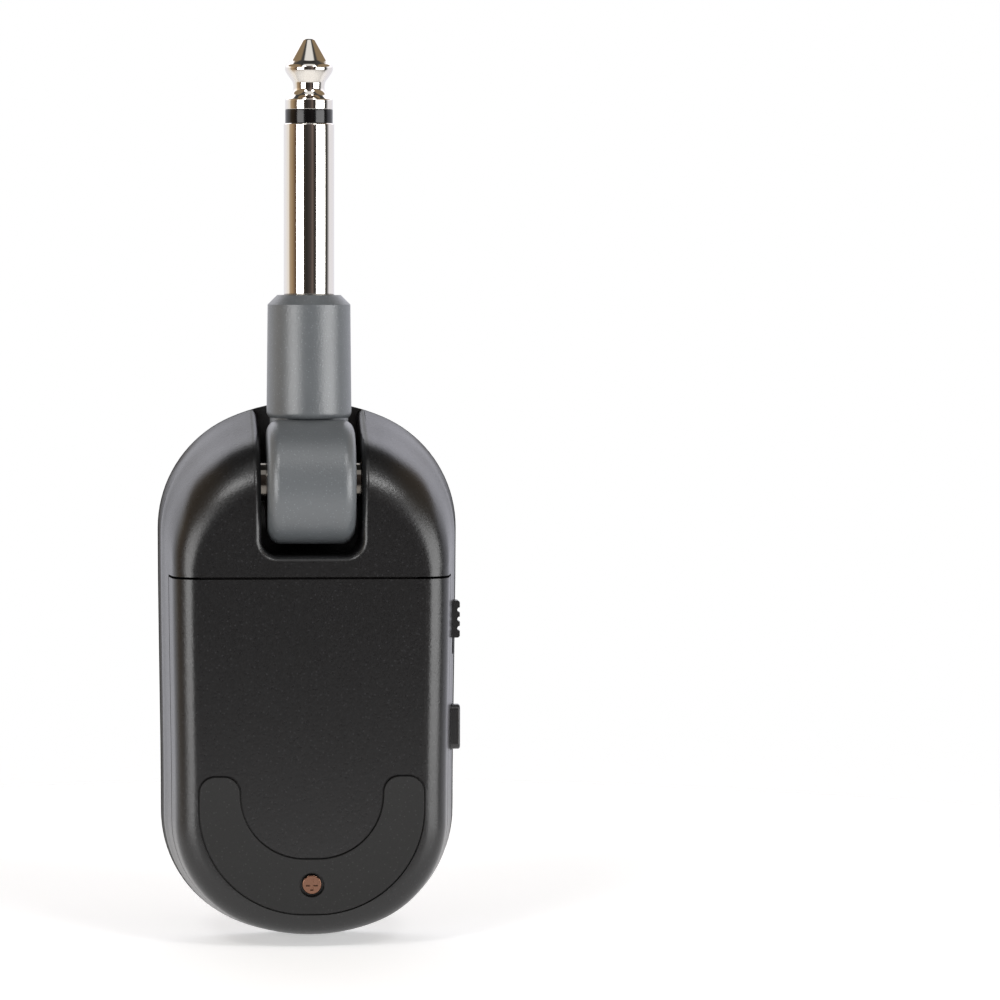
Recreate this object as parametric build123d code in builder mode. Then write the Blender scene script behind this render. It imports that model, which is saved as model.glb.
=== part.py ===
from build123d import *
import math
import os

os.makedirs("parts", exist_ok=True)

# Wireless guitar transmitter: a flat oval housing that swings about a 6.35 mm jack plug.
#
# The origin is where the plug's sleeve leaves the collar, on the plug's own axis.
# +Z runs along the plug to its tip, +Y points out of the plain front face, and -Y points
# out of the back, which has the hinge slot, the grip pad and the screw of the cover.
# Depths called "level" are Y values; heights are Z values.

# ---------------------------------------------------------------- sizes, in mm
# Two-pole plug, measured down from the nose of its tip
plug_d = 6.35
plug_length = 32.2
tip_nose_d = 1.3
tip_d = 6.0
tip_cone = 3.75
tip_land = 0.5
tip_waist_d = 3.9
tip_waist_from = 5.9
tip_waist_to = 6.7
tip_band_from = 7.8
tip_band_to = 8.9
tip_rod_d = 2.6
tip_edge_round = 0.12
spacer_d = 6.0
spacer_length = 1.7
spacer_tube_d = 4.2

# Plug's grip inside the collar
anchor_d = 8.4
anchor_from = 4.4
anchor_thickness = 2.0
sleeve_tail = 8.2
shank_d = 5.8
spacer_tail = 9.4
rod_tail = 11.2
tag_thickness = 0.4
tip_tag_width = 2.2
tip_tag_length = 3.0
ground_tag_d = 6.0
ground_tag_width = 1.6
ground_tag_length = 4.0
wire_d = 0.8
hinge_wire_spacing = 1.2

# Plug arm: collar, neck and knuckle
collar_d = 10.45
collar_foot_d = 10.75
collar_length = 15.6
collar_chamfer = 1.2
collar_foot_round = 0.9
neck_d = 9.9
knuckle_d = 15.6
knuckle_width = 11.0
knuckle_round = 1.6
plug_to_hinge = 4.0
tag_room_d = 6.4
tag_room_depth = 15.4
wire_way_d = 3.6

# Hinge hardware
pin_d = 4.9
pin_bore_d = 3.0
pin_end_reach = 1.25
pin_window_length = 3.2
pin_head_d = pin_d + 1.0
pin_head_thickness = 0.7
pin_groove_d = pin_d - 0.9
clip_thickness = 0.4
clip_mouth = 2.6
washer_thickness = 0.3
bush_wall = 0.85
bush_length = 1.9
running_clearance = 0.03
end_clearance = 0.02

# Housing
body_width = 38.1
body_taper = 0.35
body_length = 68.3
shoulder_r = 15.4
crown_r = 24.6
hood_above_hinge = 9.8
hinge_depth = 4.9
arm_front_clearance = 0.525
front_thickness = 2.7
front_round = 2.0
wall = 1.5
side_slope = 8.0
side_round = 2.75
low_slope = 7.5
low_round = 2.8
nose_slope = 20.0
nose_round = 5.2
form_steps = 9
seam_gap = 0.3
parting_gap = 0.12
lip_thickness = 0.7
lip_reach = 1.0
lip_clearance = 0.12

# Hinge slot in the hood
slot_side_clearance = 0.8
slot_floor_clearance = 1.3
slot_corner = 2.1
slot_front_r = 9.1
slot_rim_round = 0.8
slot_wall = 1.5
hinge_boss_d = pin_d + 4.3
hinge_boss_length = 2.0
hinge_hardware_clearance = 0.2
hinge_skin = 0.6

# Rear cover and grip pad
seam_below_slot = 2.7
cover_rim_depth = 5.7
cover_lip_reach = 0.65
cover_lip_root = 1.2
tongue_width = 4.0
tongue_from_middle = 11.0
tongue_thickness = 0.75
tongue_reach = 1.6
tongue_root = 2.4
pad_over_round = 0.16
pad_arm_width = 5.0
pad_foot_extra = 1.85
pad_foot_flat = 1.7
pad_arm_reach = 3.2
pad_thickness = 0.7
pad_stand_out = 0.15
pad_gap = 0.2
pad_corner = 2.0
pad_edge_round = 0.12
cover_screw_up = 3.65
cover_screw_d = 1.4
cover_screw_length = 5.4
cover_screw_head_d = 2.45
cover_screw_head_height = 0.8
cover_screw_sink = 0.15
cover_screw_well_d = 3.15
cover_screw_clearance = 0.1
cover_boss_d = 4.4
cover_boss_height = 1.0
cross_width = 0.42
cross_length = 1.5
cross_depth = 0.5

# Case screws and their bosses
case_screw_d = 1.6
case_screw_length = 7.6
case_screw_head_d = 3.0
case_screw_head_height = 1.1
case_screw_clearance = 0.2
case_boss_d = 4.2
lug_thickness = 2.0
boss_top_x = 12.9
boss_top_below_floor = 2.7
boss_low_x = 10.6
boss_low_up = 9.3

# Main board
board_front_level = 0.6
board_thickness = 1.0
board_gap = 0.35
board_top_gap = 0.4

# Controls on the right-hand side
control_level = 2.2
control_height = 2.2
control_flange_height = 2.8
control_flange_thickness = 0.7
control_flange_gap = 0.19
control_clearance = 0.1
knob_below_seam = 6.0
knob_length = 4.73
knob_stand_out = 0.55
knob_travel = 2.0
knob_flange_extra = 1.2
knob_rib_count = 4
knob_groove_r = 0.32
button_below_seam = 19.8
button_length = 5.7
button_stand_out = 0.62
button_travel = 0.4
button_flange_extra = 0.8
button_corner = 0.7
button_edge_round = 0.25
slide_switch_length = 6.2
slide_switch_width = 3.0
slide_switch_height = 2.3
lever_size = 1.2
lever_depth = 1.0
pair_switch_length = 4.4
pair_switch_width = 2.8
pair_switch_height = 3.0
plunger_d = 1.4
plunger_depth = 0.6

# Charging socket at the foot of the housing
usb_width = 8.94
usb_height = 3.2
usb_length = 7.3
usb_shell = 0.3
usb_depth = 6.2
usb_tongue_width = 6.7
usb_tongue_thickness = 0.7
usb_tongue_length = 4.6
usb_set_back = 0.9
usb_clearance = 0.2

# Electronics
shield_width = 14.0
shield_height = 12.0
shield_depth = 2.0
shield_sheet = 0.2
shield_below_seam = 24.0
radio_chip_size = 5.0
chip_thickness = 0.8
audio_chip_size = 4.0
charge_chip_size = 3.0
antenna_length = 7.0
antenna_width = 1.6
antenna_thickness = 1.0
led_width = 1.6
led_height = 0.8
led_thickness = 0.7
lamp_below_seam = 10.8
light_pipe_d = 2.2
light_pipe_flange_d = 3.4
light_pipe_flange = 0.8
light_pipe_gap = 0.3

# Battery
cell_width = 26.0
cell_length = 29.0
cell_thickness = 5.8
cell_corner = 2.2
cell_edge_round = 1.0
tape_thickness = 0.6
tape_width = 18.0
tape_length = 22.0
cell_below_seam = 5.8
battery_socket_width = 8.0
battery_socket_length = 3.4
battery_socket_height = 3.0
lead_d = 1.0
lead_spacing = 2.0

# ---------------------------------------------------------------- places, worked out
body_half_top = body_width / 2
body_half_low = body_half_top - body_taper
hinge_y = -plug_to_hinge
hinge_z = -collar_length - knuckle_d / 2
back_y = hinge_y - hinge_depth
parting_y = collar_foot_d / 2 + arm_front_clearance
front_y = parting_y + front_thickness
hood_depth = parting_y - back_y
body_top = hinge_z + hood_above_hinge
body_low = body_top - body_length
slot_half = knuckle_width / 2 + slot_side_clearance
slot_floor = hinge_z - knuckle_d / 2 - slot_floor_clearance
floor_under = slot_floor - slot_wall
seam_z = slot_floor - seam_below_slot
cover_split_y = back_y + cover_rim_depth
inner_back_y = back_y + wall
inner_front_y = front_y - wall
board_back_level = board_front_level - board_thickness
spacer_from = plug_length - tip_band_to
sleeve_end = spacer_from - spacer_length
boss_end = slot_half + hinge_boss_length
lug_back = board_back_level - lug_thickness
boss_top_z = floor_under - boss_top_below_floor
boss_low_z = body_low + boss_low_up
boss_places = [
    (boss_top_x, boss_top_z),
    (-boss_top_x, boss_top_z),
    (boss_low_x, boss_low_z),
    (-boss_low_x, boss_low_z),
]
back_flat_cut = hood_depth * math.tan(math.radians(side_slope)) + side_round
back_flat_low = body_low + hood_depth * math.tan(math.radians(low_slope)) + low_round
pad_cut = back_flat_cut - pad_over_round
pad_low = back_flat_low - pad_over_round
pad_half = body_half_low - pad_cut
pad_top = pad_low + pad_half + pad_arm_reach
pad_seat = back_y + pad_thickness - pad_stand_out
screw_z = pad_low + cover_screw_up
screw_seat = back_y + cover_screw_sink + cover_screw_head_height
knob_z = seam_z - knob_below_seam
button_z = seam_z - button_below_seam
lamp_z = seam_z - lamp_below_seam
shield_z = seam_z - shield_below_seam
cell_top = seam_z - cell_below_seam
cell_front = board_back_level - tape_thickness
far = 100.0


def save(piece, name):
    """Label a finished piece and write it as one STEP file."""
    piece.label = name
    export_step(piece, f"parts/{name}.step")


# ---------------------------------------------------------------- housing outline
def crown_height(half_width, cut_in):
    """Height of an oval's end above the level where its side turns into the shoulder."""
    reach = crown_r - shoulder_r
    return crown_r - cut_in - math.sqrt(reach**2 - (half_width - shoulder_r) ** 2)


def shoulder_turn(half_width):
    """Angle at which the shoulder arc hands over to the flatter crown arc."""
    return math.degrees(math.acos((half_width - shoulder_r) / (crown_r - shoulder_r)))


def oval_edges(cut_in, top, low):
    """The housing's outline moved in by cut_in, between the heights top and low."""
    top_bend = top - crown_height(body_half_top, cut_in)
    low_bend = low + crown_height(body_half_low, cut_in)
    top_turn = shoulder_turn(body_half_top)
    low_turn = shoulder_turn(body_half_low)
    with BuildLine() as outline:
        CenterArc((0, top - crown_r + cut_in), crown_r - cut_in, 90, top_turn - 90)
        CenterArc((body_half_top - shoulder_r, top_bend), shoulder_r - cut_in, top_turn, -top_turn)
        Spline(
            (body_half_top - cut_in, top_bend),
            (body_half_low - cut_in, low_bend),
            tangents=[(0, -1), (0, -1)],
        )
        CenterArc((body_half_low - shoulder_r, low_bend), shoulder_r - cut_in, 0, -low_turn)
        CenterArc((0, low + crown_r - cut_in), crown_r - cut_in, -low_turn, low_turn - 90)
        mirror(about=Plane.YZ)
    return outline.edges()


def oval_face(level, cut_in, top, low):
    """The same outline as a face at one level."""
    with BuildSketch(Plane.XZ.offset(-level)) as face:
        make_face(oval_edges(cut_in, top, low))
    return face.sketch


def wall_inset(depth, slope, rounding, skin):
    """How far a sloping wall with a rounded back edge stands in at a depth behind the parting."""
    radius = rounding - skin
    into_round = max(0.0, depth - (hood_depth - rounding))
    rounded_off = radius - math.sqrt(max(0.0, radius**2 - into_round**2))
    return skin + depth * math.tan(math.radians(slope)) + rounded_off


def body_form(skin):
    """Everything behind the parting plane, moved in by the thickness of a skin."""
    depth_end = hood_depth - skin
    sections = []
    for step in range(form_steps + 1):
        sweep_angle = math.radians(90 * step / form_steps)
        depth = depth_end * math.sin(sweep_angle)
        drop = wall_inset(depth, nose_slope, nose_round, skin)
        cut_in = wall_inset(depth, side_slope, side_round, skin)
        rise = wall_inset(depth, low_slope, low_round, skin)
        sections.append(oval_face(parting_y - depth, cut_in, body_top - drop, body_low + rise))
    with BuildPart() as form:
        loft(sections=sections)
    return form.part


def slot_form(grow):
    """The space that the plug arm swings in, grown by the thickness of the wall around it."""
    half = slot_half + grow
    floor = slot_floor - grow
    height = body_top - floor + wall
    with BuildPart() as space:
        with BuildSketch(Plane.XZ.offset(-parting_y - grow)) as opening:
            with Locations((0, floor + height / 2)):
                Rectangle(2 * half, height)
            fillet(opening.vertices().group_by(Axis.Y)[0], slot_corner + grow)
        extrude(amount=hood_depth + 2 * wall + grow)
        with BuildSketch(Plane.YZ.offset(-half)) as profile:
            with Locations((parting_y + grow, floor)):
                Rectangle(2 * hood_depth, height, align=(Align.MAX, Align.MIN))
            fillet(profile.vertices().group_by(Axis.Y)[0].sort_by(Axis.X)[-1], slot_front_r + grow)
        extrude(amount=2 * half, mode=Mode.INTERSECT)
    return space.part


def pad_face(level, grow):
    """The U of the grip pad at one level, grown on every side."""
    outer_half = pad_half + grow
    inner_half = pad_half - pad_arm_width - grow
    inner_low = pad_low + pad_arm_width + pad_foot_extra + grow
    with BuildSketch(Plane.XZ.offset(-level)) as hollow:
        with Locations((0, inner_low)):
            Rectangle(2 * inner_half, far, align=(Align.CENTER, Align.MIN))
        fillet(hollow.vertices().group_by(Axis.Y)[0], inner_half - pad_foot_flat / 2)
    with BuildSketch(Plane.XZ.offset(-level)) as face:
        with Locations((0, pad_low - grow)):
            Rectangle(
                2 * outer_half, pad_top - pad_low + 2 * grow, align=(Align.CENTER, Align.MIN)
            )
        fillet(face.vertices().group_by(Axis.Y)[0], outer_half - pad_foot_flat / 2)
        add(hollow.sketch, mode=Mode.SUBTRACT)
        fillet(face.vertices().group_by(Axis.Y)[-1], pad_corner)
    return face.sketch


outer_form = body_form(0)
inner_form = body_form(wall)


def on_slot_rim(edge):
    """Whether an edge runs around the slot's mouth, over the flat back or up the hood's nose."""
    box = edge.bounding_box()
    within = max(-box.min.X, box.max.X) < slot_half + end_clearance
    meets_back = within and box.min.Y < back_y + end_clearance and box.min.Z > seam_z
    return meets_back and (box.max.Y < back_y + end_clearance or box.max.Z > hinge_z)


with BuildPart() as slotted_form:
    add(outer_form)
    add(slot_form(0), mode=Mode.SUBTRACT)
    fillet(slotted_form.edges().filter_by(on_slot_rim), slot_rim_round)

# ---------------------------------------------------------------- plug
with BuildPart() as plug_tip:
    with BuildSketch(Plane.XZ) as section:
        with BuildLine():
            Polyline(
                (0, -rod_tail),
                (tip_rod_d / 2, -rod_tail),
                (tip_rod_d / 2, spacer_from),
                (tip_d / 2, spacer_from),
                (tip_d / 2, plug_length - tip_band_from),
            )
            Spline(
                (tip_d / 2, plug_length - tip_band_from),
                (tip_waist_d / 2, plug_length - tip_waist_to),
                tangents=[(-1, 0.1), (0, 1)],
            )
            Polyline(
                (tip_waist_d / 2, plug_length - tip_waist_to),
                (tip_waist_d / 2, plug_length - tip_waist_from),
                (tip_d / 2, plug_length - tip_cone - tip_land),
                (tip_d / 2, plug_length - tip_cone),
                (tip_nose_d / 2, plug_length),
                (0, plug_length),
                (0, -rod_tail),
            )
        make_face()
        fillet(section.vertices().sort_by(Axis.X)[-4:].sort_by(Axis.Y)[-2:], tip_edge_round)
    revolve(axis=Axis.Z)
save(plug_tip.part, "plug_tip")

with BuildPart() as plug_insulator:
    with BuildSketch(Plane.XY.offset(-spacer_tail)):
        Circle(spacer_tube_d / 2)
        Circle(tip_rod_d / 2, mode=Mode.SUBTRACT)
    extrude(amount=spacer_tail + sleeve_end)
    with BuildSketch(Plane.XY.offset(sleeve_end)):
        Circle(spacer_d / 2)
        Circle(tip_rod_d / 2, mode=Mode.SUBTRACT)
    extrude(amount=spacer_length)
save(plug_insulator.part, "plug_insulator")

with BuildPart() as plug_sleeve:
    with BuildSketch(Plane.XY):
        Circle(plug_d / 2)
    extrude(amount=sleeve_end)
    with BuildSketch(Plane.XY.offset(-sleeve_tail)):
        Circle(shank_d / 2)
    extrude(amount=sleeve_tail)
    with BuildSketch(Plane.XY.offset(-anchor_from - anchor_thickness)):
        Circle(anchor_d / 2)
    extrude(amount=anchor_thickness)
    with BuildSketch(Plane.XY.offset(-sleeve_tail)):
        Circle(spacer_tube_d / 2)
    extrude(amount=sleeve_tail + sleeve_end, mode=Mode.SUBTRACT)
save(plug_sleeve.part, "plug_sleeve")

# Solder tags: a flat tail under the rod, and a ring with a tail under the sleeve
with BuildPart() as tip_tag:
    with BuildSketch(Plane.XY.offset(-rod_tail - tip_tag_length)):
        Rectangle(tip_tag_width, tag_thickness)
    extrude(amount=tip_tag_length)
save(tip_tag.part, "tip_tag")

tail_y = ground_tag_d / 2 - tag_thickness / 2
with BuildPart() as ground_tag:
    with BuildSketch(Plane.XY.offset(-sleeve_tail - tag_thickness)):
        Circle(ground_tag_d / 2)
        Circle(spacer_tube_d / 2, mode=Mode.SUBTRACT)
    extrude(amount=tag_thickness)
    with BuildSketch(Plane.XY.offset(-sleeve_tail - ground_tag_length)):
        with Locations((0, tail_y)):
            Rectangle(ground_tag_width, tag_thickness)
    extrude(amount=ground_tag_length)
save(ground_tag.part, "ground_tag")

# ---------------------------------------------------------------- plug arm
neck_front = parting_y - arm_front_clearance
with BuildPart() as neck:
    with BuildSketch(Plane.XY.offset(hinge_z)):
        Circle(neck_d / 2)
    extrude(amount=-collar_length - hinge_z + collar_foot_round)
    with BuildSketch(Plane.YZ.offset(-neck_d / 2)):
        with BuildLine():
            Polyline(
                (hinge_y, hinge_z),
                (hinge_y + knuckle_d / 2, hinge_z),
                (neck_front, -collar_length - collar_foot_round),
                (neck_front, -collar_length + collar_foot_round),
                (hinge_y, -collar_length + collar_foot_round),
                (hinge_y, hinge_z),
            )
        make_face()
    extrude(amount=neck_d, mode=Mode.INTERSECT)

with BuildPart() as arm_shell:
    with BuildSketch(Plane.YZ.offset(-knuckle_width / 2)):
        with Locations((hinge_y, hinge_z)):
            Circle(knuckle_d / 2)
    extrude(amount=knuckle_width)
    fillet(arm_shell.edges().filter_by(GeomType.CIRCLE), knuckle_round)
    with BuildSketch(Plane.XZ) as section:
        with BuildLine():
            Polyline(
                (0, 0),
                (collar_d / 2 - collar_chamfer, 0),
                (collar_d / 2, -collar_chamfer),
                (collar_foot_d / 2, -collar_length),
                (0, -collar_length),
                (0, 0),
            )
        make_face()
        fillet(section.vertices().group_by(Axis.Y)[0].sort_by(Axis.X)[-1], collar_foot_round)
    revolve(axis=Axis.Z)
    add(neck.part)
    # seat of the sleeve's shank and of its anchoring flange
    with BuildSketch(Plane.XY.offset(-sleeve_tail)):
        Circle(shank_d / 2)
    extrude(amount=sleeve_tail, mode=Mode.SUBTRACT)
    with BuildSketch(Plane.XY.offset(-anchor_from - anchor_thickness)):
        Circle(anchor_d / 2)
    extrude(amount=anchor_thickness, mode=Mode.SUBTRACT)
    # room for the solder tags, and the way down to the hinge pin
    with BuildSketch(Plane.XY.offset(-tag_room_depth)):
        Circle(tag_room_d / 2)
    extrude(amount=tag_room_depth - sleeve_tail, mode=Mode.SUBTRACT)
    way = Vector(0, hinge_y, hinge_z) - Vector(0, 0, -tag_room_depth + 1)
    with BuildSketch(Plane(origin=(0, hinge_y, hinge_z), x_dir=(1, 0, 0), z_dir=way * -1)):
        Circle(wire_way_d / 2)
    extrude(amount=way.length, mode=Mode.SUBTRACT)
    with BuildSketch(Plane.YZ.offset(-knuckle_width / 2)):
        with Locations((hinge_y, hinge_z)):
            Circle(pin_d / 2)
    extrude(amount=knuckle_width, mode=Mode.SUBTRACT)
save(arm_shell.part, "arm_shell")

# Signal and ground wires from the tags to the window in the pin
wire_x = 0.7 * wire_d
wire_stop = Vector(0, hinge_y, hinge_z) - way.normalized() * (pin_d / 2 + wire_d / 4)
ground_wire_y = tail_y - (tag_thickness + wire_d) / 2
with BuildPart() as plug_wires:
    with BuildLine() as signal_path:
        Line((-wire_x, 0, -rod_tail - tip_tag_length), (-wire_x, wire_stop.Y, wire_stop.Z))
    with BuildSketch(Plane(origin=signal_path.line @ 0, z_dir=signal_path.line % 0)):
        Circle(wire_d / 2)
    sweep(path=signal_path.line)
    with BuildLine() as ground_path:
        FilletPolyline(
            (wire_x, ground_wire_y, -sleeve_tail - ground_tag_length),
            (wire_x, 0, -tag_room_depth),
            (wire_x, wire_stop.Y, wire_stop.Z),
            radius=2,
        )
    with BuildSketch(Plane(origin=ground_path.line @ 0, z_dir=ground_path.line % 0)):
        Circle(wire_d / 2)
    sweep(path=ground_path.line)
save(plug_wires.part, "plug_wires")

# ---------------------------------------------------------------- hinge hardware
# The pin turns with the arm. Its head bears on the right boss, a washer and clip on the left.
head_face = boss_end + end_clearance
clip_inner = boss_end + washer_thickness + 2 * end_clearance
pin_left_end = clip_inner + clip_thickness + pin_end_reach / 2
with BuildPart() as hinge_pin:
    with BuildSketch(Plane.YZ.offset(-pin_left_end)):
        with Locations((hinge_y, hinge_z)):
            Circle(pin_d / 2)
    extrude(amount=pin_left_end + head_face)
    with BuildSketch(Plane.YZ.offset(head_face)):
        with Locations((hinge_y, hinge_z)):
            Circle(pin_head_d / 2)
    extrude(amount=pin_head_thickness)
    with BuildSketch(Plane.YZ.offset(-clip_inner - clip_thickness)):
        with Locations((hinge_y, hinge_z)):
            Circle(pin_d)
            Circle(pin_groove_d / 2, mode=Mode.SUBTRACT)
    extrude(amount=clip_thickness, mode=Mode.SUBTRACT)
    with BuildSketch(Plane.YZ.offset(-pin_left_end)):
        with Locations((hinge_y, hinge_z)):
            Circle(pin_bore_d / 2)
    extrude(amount=pin_left_end + head_face + pin_head_thickness, mode=Mode.SUBTRACT)
    with BuildSketch(Plane(origin=(0, hinge_y, hinge_z), x_dir=(1, 0, 0), z_dir=way * -1)):
        SlotOverall(pin_window_length, wire_d * 2)
    extrude(amount=pin_d, mode=Mode.SUBTRACT)
save(hinge_pin.part, "hinge_pin")

with BuildPart() as retaining_clip:
    with BuildSketch(Plane.YZ.offset(-clip_inner - clip_thickness)):
        with Locations((hinge_y, hinge_z)):
            Circle(pin_head_d / 2)
            Circle(pin_groove_d / 2, mode=Mode.SUBTRACT)
        with Locations((hinge_y, hinge_z + pin_head_d / 2)):
            Rectangle(clip_mouth, pin_head_d, mode=Mode.SUBTRACT)
    extrude(amount=clip_thickness)
save(retaining_clip.part, "retaining_clip")

with BuildPart() as wave_washer:
    with BuildSketch(Plane.YZ.offset(-clip_inner)):
        with Locations((hinge_y, hinge_z)):
            Circle(pin_head_d / 2)
            Circle(pin_d / 2 + running_clearance, mode=Mode.SUBTRACT)
    extrude(amount=washer_thickness)
save(wave_washer.part, "wave_washer")

bush_r = pin_d / 2 + running_clearance + bush_wall
with BuildPart() as hinge_bushes:
    with BuildSketch(Plane.YZ.offset(boss_end - bush_length)):
        with Locations((hinge_y, hinge_z)):
            Circle(bush_r)
            Circle(pin_d / 2 + running_clearance, mode=Mode.SUBTRACT)
    extrude(amount=bush_length)
    mirror(about=Plane.YZ)
save(hinge_bushes.part, "hinge_bushes")


# ---------------------------------------------------------------- rear housing
def control_window(height_z, length):
    """Opening in the right-hand wall that a control comes out through."""
    with BuildPart() as window:
        with BuildSketch(Plane.YZ):
            with Locations((control_level, height_z)):
                Rectangle(control_height + 2 * control_clearance, length + 2 * control_clearance)
        extrude(amount=far)
    return window.part


with BuildPart() as hinge_block:
    add(slot_form(slot_wall))
    with BuildSketch(Plane.YZ):
        with Locations((hinge_y, hinge_z)):
            Circle(hinge_boss_d / 2)
    extrude(amount=boss_end, both=True)
    add(outer_form, mode=Mode.INTERSECT)

with BuildPart() as hinge_room:
    for side in (-1, 1):
        with BuildSketch(Plane.YZ.offset(side * boss_end)):
            with Locations((hinge_y, hinge_z)):
                Circle(pin_head_d / 2 + hinge_hardware_clearance)
        extrude(amount=side * 2 * pin_end_reach)
    add(body_form(hinge_skin), mode=Mode.INTERSECT)

with BuildPart() as screw_lugs:
    with BuildSketch(Plane.XZ.offset(-board_back_level)):
        for x, z in boss_places:
            outward = math.copysign(case_boss_d, x)
            with Locations((x, z)):
                Circle(case_boss_d / 2)
            with Locations((x + outward, z)):
                Rectangle(2 * case_boss_d, case_boss_d)
    extrude(amount=lug_thickness)
    add(outer_form, mode=Mode.INTERSECT)

boss_back = inner_back_y + cover_boss_height + end_clearance
with BuildPart() as cover_post:
    with BuildSketch(Plane.XZ.offset(-board_back_level + board_gap)):
        with Locations((0, screw_z)):
            Circle(cover_boss_d / 2)
    extrude(amount=-boss_back + board_back_level - board_gap)
    with BuildSketch(Plane.XZ.offset(-board_back_level + board_gap)):
        with Locations((0, (screw_z + body_low) / 2)):
            Rectangle(cover_boss_d / 2, screw_z - body_low)
    extrude(amount=-cover_split_y + board_back_level - board_gap - cover_lip_reach - seam_gap)
    add(outer_form, mode=Mode.INTERSECT)

with BuildPart() as rear_housing:
    add(outer_form)
    add(inner_form, mode=Mode.SUBTRACT)
    # the lower back belongs to the cover
    with BuildSketch(Plane.YZ.offset(-far / 2)):
        with Locations((cover_split_y + seam_gap / 2, seam_z + seam_gap / 2)):
            Rectangle(far, far, align=(Align.MAX, Align.MAX))
    extrude(amount=far, mode=Mode.SUBTRACT)
    add(hinge_block.part)
    add(screw_lugs.part)
    add(cover_post.part)
    # a fine reveal along the parting with the front shell
    with BuildSketch(Plane.XZ.offset(-parting_y)):
        Rectangle(2 * far, 2 * far)
    extrude(amount=parting_gap, mode=Mode.SUBTRACT)
    # hinge slot, room for the pin's head, washer and clip, and seats of the bushes
    add(slotted_form.part, mode=Mode.INTERSECT)
    add(hinge_room.part, mode=Mode.SUBTRACT)
    with BuildSketch(Plane.YZ.offset(-boss_end)):
        with Locations((hinge_y, hinge_z)):
            Circle(bush_r)
    extrude(amount=2 * boss_end, mode=Mode.SUBTRACT)
    # windows of the slide switch and of the button, and the mouth of the charging socket
    add(control_window(knob_z - knob_travel / 2, knob_length + knob_travel), mode=Mode.SUBTRACT)
    add(control_window(button_z, button_length), mode=Mode.SUBTRACT)
    with BuildSketch(Plane.XY.offset(body_low)):
        with Locations((0, board_front_level + usb_height / 2)):
            SlotOverall(usb_width + 2 * usb_clearance, usb_height + 2 * usb_clearance)
    extrude(amount=usb_length, mode=Mode.SUBTRACT)
    # clearance holes of the case screws and the pilot hole of the cover screw
    with BuildSketch(Plane.XZ.offset(-board_back_level)):
        with Locations(boss_places):
            Circle(case_screw_d / 2 + case_screw_clearance)
    extrude(amount=lug_thickness, mode=Mode.SUBTRACT)
    with BuildSketch(Plane.XZ.offset(-boss_back)):
        with Locations((0, screw_z)):
            Circle(cover_screw_d / 2)
    extrude(amount=boss_back - screw_seat - cover_screw_length - end_clearance, mode=Mode.SUBTRACT)
save(rear_housing.part, "rear_housing")

# ---------------------------------------------------------------- front shell
lip_outer = wall_inset(lip_reach, side_slope, side_round, wall) + lip_clearance
lip_inner = lip_outer + lip_thickness
with BuildPart() as front_shell:
    with BuildSketch(Plane.XZ.offset(-parting_y)):
        make_face(oval_edges(0, body_top, body_low))
    extrude(amount=-front_thickness)
    fillet(front_shell.faces().sort_by(Axis.Y)[-1].edges(), front_round)
    # hollow behind the face, left solid where it closes the hinge slot
    with BuildSketch(Plane.XZ.offset(-parting_y)):
        make_face(oval_edges(lip_inner, body_top - lip_inner, body_low + lip_inner))
        with Locations((0, floor_under)):
            Rectangle(2 * (slot_half + slot_wall), far, align=(Align.CENTER, Align.MIN), mode=Mode.SUBTRACT)
    extrude(amount=parting_y - inner_front_y, mode=Mode.SUBTRACT)
    # lip that reaches into the rear housing and closes the parting from inside
    with BuildSketch(Plane.XZ.offset(-parting_y)):
        make_face(oval_edges(lip_outer, body_top - lip_outer, body_low + lip_outer))
        make_face(
            oval_edges(lip_inner, body_top - lip_inner, body_low + lip_inner),
            mode=Mode.SUBTRACT,
        )
        with Locations((0, floor_under - lip_thickness)):
            Rectangle(
                2 * (slot_half + slot_wall + lip_thickness),
                far,
                align=(Align.CENTER, Align.MIN),
                mode=Mode.SUBTRACT,
            )
    extrude(amount=lip_reach)
    # bosses that clamp the board
    with BuildSketch(Plane.XZ.offset(-board_front_level)):
        with Locations(boss_places):
            Circle(case_boss_d / 2)
            Circle(case_screw_d / 2, mode=Mode.SUBTRACT)
    extrude(amount=board_front_level - inner_front_y)
    # hole of the light pipe
    with BuildSketch(Plane.XZ.offset(-front_y)):
        with Locations((0, lamp_z)):
            Circle(light_pipe_d / 2)
    extrude(amount=wall, mode=Mode.SUBTRACT)
save(front_shell.part, "front_shell")

# ---------------------------------------------------------------- rear cover
with BuildPart() as cover_lip:
    add(inner_form)
    add(body_form(wall + lip_thickness), mode=Mode.SUBTRACT)
    with BuildSketch(Plane.YZ.offset(-far / 2)):
        with Locations((cover_split_y + cover_lip_reach, seam_z - seam_gap / 2)):
            Rectangle(cover_lip_reach + cover_lip_root, far, align=(Align.MAX, Align.MAX))
    extrude(amount=far, mode=Mode.INTERSECT)

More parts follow.
